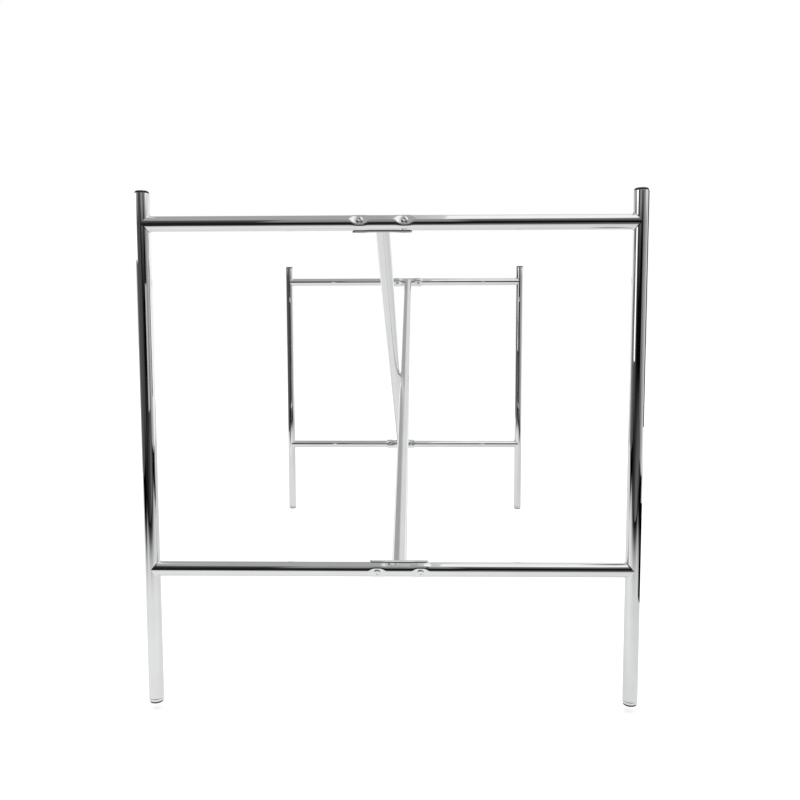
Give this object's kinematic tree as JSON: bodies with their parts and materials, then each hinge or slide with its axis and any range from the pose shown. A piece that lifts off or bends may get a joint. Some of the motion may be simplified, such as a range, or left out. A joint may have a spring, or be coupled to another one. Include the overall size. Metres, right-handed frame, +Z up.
{
  "type": "table frame",
  "caption": "Knock-down table frame of chromed round tube: two legged end frames tied by a crossed diagonal brace, with pads on top and levelling feet.",
  "frame": {"origin": "on the floor at the centre of the footprint", "axes": "+X across an end frame, +Y along the brace from the near end frame to the far one, +Z up"},
  "size_m": [0.676, 1.2368, 0.698],
  "materials": {
    "chrome_tube": "polished chrome plate",
    "zinc_steel": "zinc-plated steel",
    "black_plastic": "black moulded plastic, fine matt"
  },
  "bodies": {
    "frame": {"near_left_leg": "chrome_tube", "near_left_top_pad": "black_plastic", "near_left_foot_insert": "zinc_steel", "near_right_leg": "chrome_tube", "near_right_top_pad": "black_plastic", "near_right_foot_insert": "zinc_steel", "far_left_leg": "chrome_tube", "far_left_top_pad": "black_plastic", "far_left_foot_insert": "zinc_steel", "far_right_leg": "chrome_tube", "far_right_top_pad": "black_plastic", "far_right_foot_insert": "zinc_steel", "near_top_rail": "chrome_tube", "near_top_saddle": "chrome_tube", "near_top_left_sleeve_nut": "chrome_tube", "near_top_left_screw": "zinc_steel", "near_top_right_sleeve_nut": "chrome_tube", "near_top_right_screw": "zinc_steel", "near_bottom_rail": "chrome_tube", "near_bottom_saddle": "chrome_tube", "near_bottom_left_sleeve_nut": "chrome_tube", "near_bottom_left_screw": "zinc_steel", "near_bottom_right_sleeve_nut": "chrome_tube", "near_bottom_right_screw": "zinc_steel", "far_top_rail": "chrome_tube", "far_top_saddle": "chrome_tube", "far_top_left_sleeve_nut": "chrome_tube", "far_top_left_screw": "zinc_steel", "far_top_right_sleeve_nut": "chrome_tube", "far_top_right_screw": "zinc_steel", "far_bottom_rail": "chrome_tube", "far_bottom_saddle": "chrome_tube", "far_bottom_left_sleeve_nut": "chrome_tube", "far_bottom_left_screw": "zinc_steel", "far_bottom_right_sleeve_nut": "chrome_tube", "far_bottom_right_screw": "zinc_steel", "brace_tube_a": "chrome_tube", "brace_tube_b": "chrome_tube", "brace_cross_weld": "chrome_tube"},
    "near_left_foot": {"near_left_foot_cup": "chrome_tube", "near_left_foot_glide": "black_plastic"},
    "near_left_stud": {"near_left_foot_stud": "zinc_steel"},
    "near_right_foot": {"near_right_foot_cup": "chrome_tube", "near_right_foot_glide": "black_plastic"},
    "near_right_stud": {"near_right_foot_stud": "zinc_steel"},
    "far_left_foot": {"far_left_foot_cup": "chrome_tube", "far_left_foot_glide": "black_plastic"},
    "far_left_stud": {"far_left_foot_stud": "zinc_steel"},
    "far_right_foot": {"far_right_foot_cup": "chrome_tube", "far_right_foot_glide": "black_plastic"},
    "far_right_stud": {"far_right_foot_stud": "zinc_steel"}
  },
  "joints": [
    {"name": "near_left_foot_travel", "type": "slide", "parent": "frame", "child": "near_left_foot", "axis": [0, 0, 1], "range_m": [-0.01, 0]},
    {"name": "near_left_stud_turn", "type": "hinge", "parent": "near_left_foot", "child": "near_left_stud", "pos_m": [-0.328, -0.608, 0.01], "axis": [0, 0, 1], "range_deg": [-2880, 0]},
    {"name": "near_right_foot_travel", "type": "slide", "parent": "frame", "child": "near_right_foot", "axis": [0, 0, 1], "range_m": [-0.01, 0]},
    {"name": "near_right_stud_turn", "type": "hinge", "parent": "near_right_foot", "child": "near_right_stud", "pos_m": [0.328, -0.608, 0.01], "axis": [0, 0, 1], "range_deg": [-2880, 0]},
    {"name": "far_left_foot_travel", "type": "slide", "parent": "frame", "child": "far_left_foot", "axis": [0, 0, 1], "range_m": [-0.01, 0]},
    {"name": "far_left_stud_turn", "type": "hinge", "parent": "far_left_foot", "child": "far_left_stud", "pos_m": [-0.328, 0.608, 0.01], "axis": [0, 0, 1], "range_deg": [-2880, 0]},
    {"name": "far_right_foot_travel", "type": "slide", "parent": "frame", "child": "far_right_foot", "axis": [0, 0, 1], "range_m": [-0.01, 0]},
    {"name": "far_right_stud_turn", "type": "hinge", "parent": "far_right_foot", "child": "far_right_stud", "pos_m": [0.328, 0.608, 0.01], "axis": [0, 0, 1], "range_deg": [-2880, 0]}
  ],
  "couplings": [
    {"joint": "near_left_stud_turn", "follows": "near_left_foot_travel", "rad_per_m": 5026.5},
    {"joint": "near_right_stud_turn", "follows": "near_right_foot_travel", "rad_per_m": 5026.5},
    {"joint": "far_left_stud_turn", "follows": "far_left_foot_travel", "rad_per_m": 5026.5},
    {"joint": "far_right_stud_turn", "follows": "far_right_foot_travel", "rad_per_m": 5026.5}
  ]
}
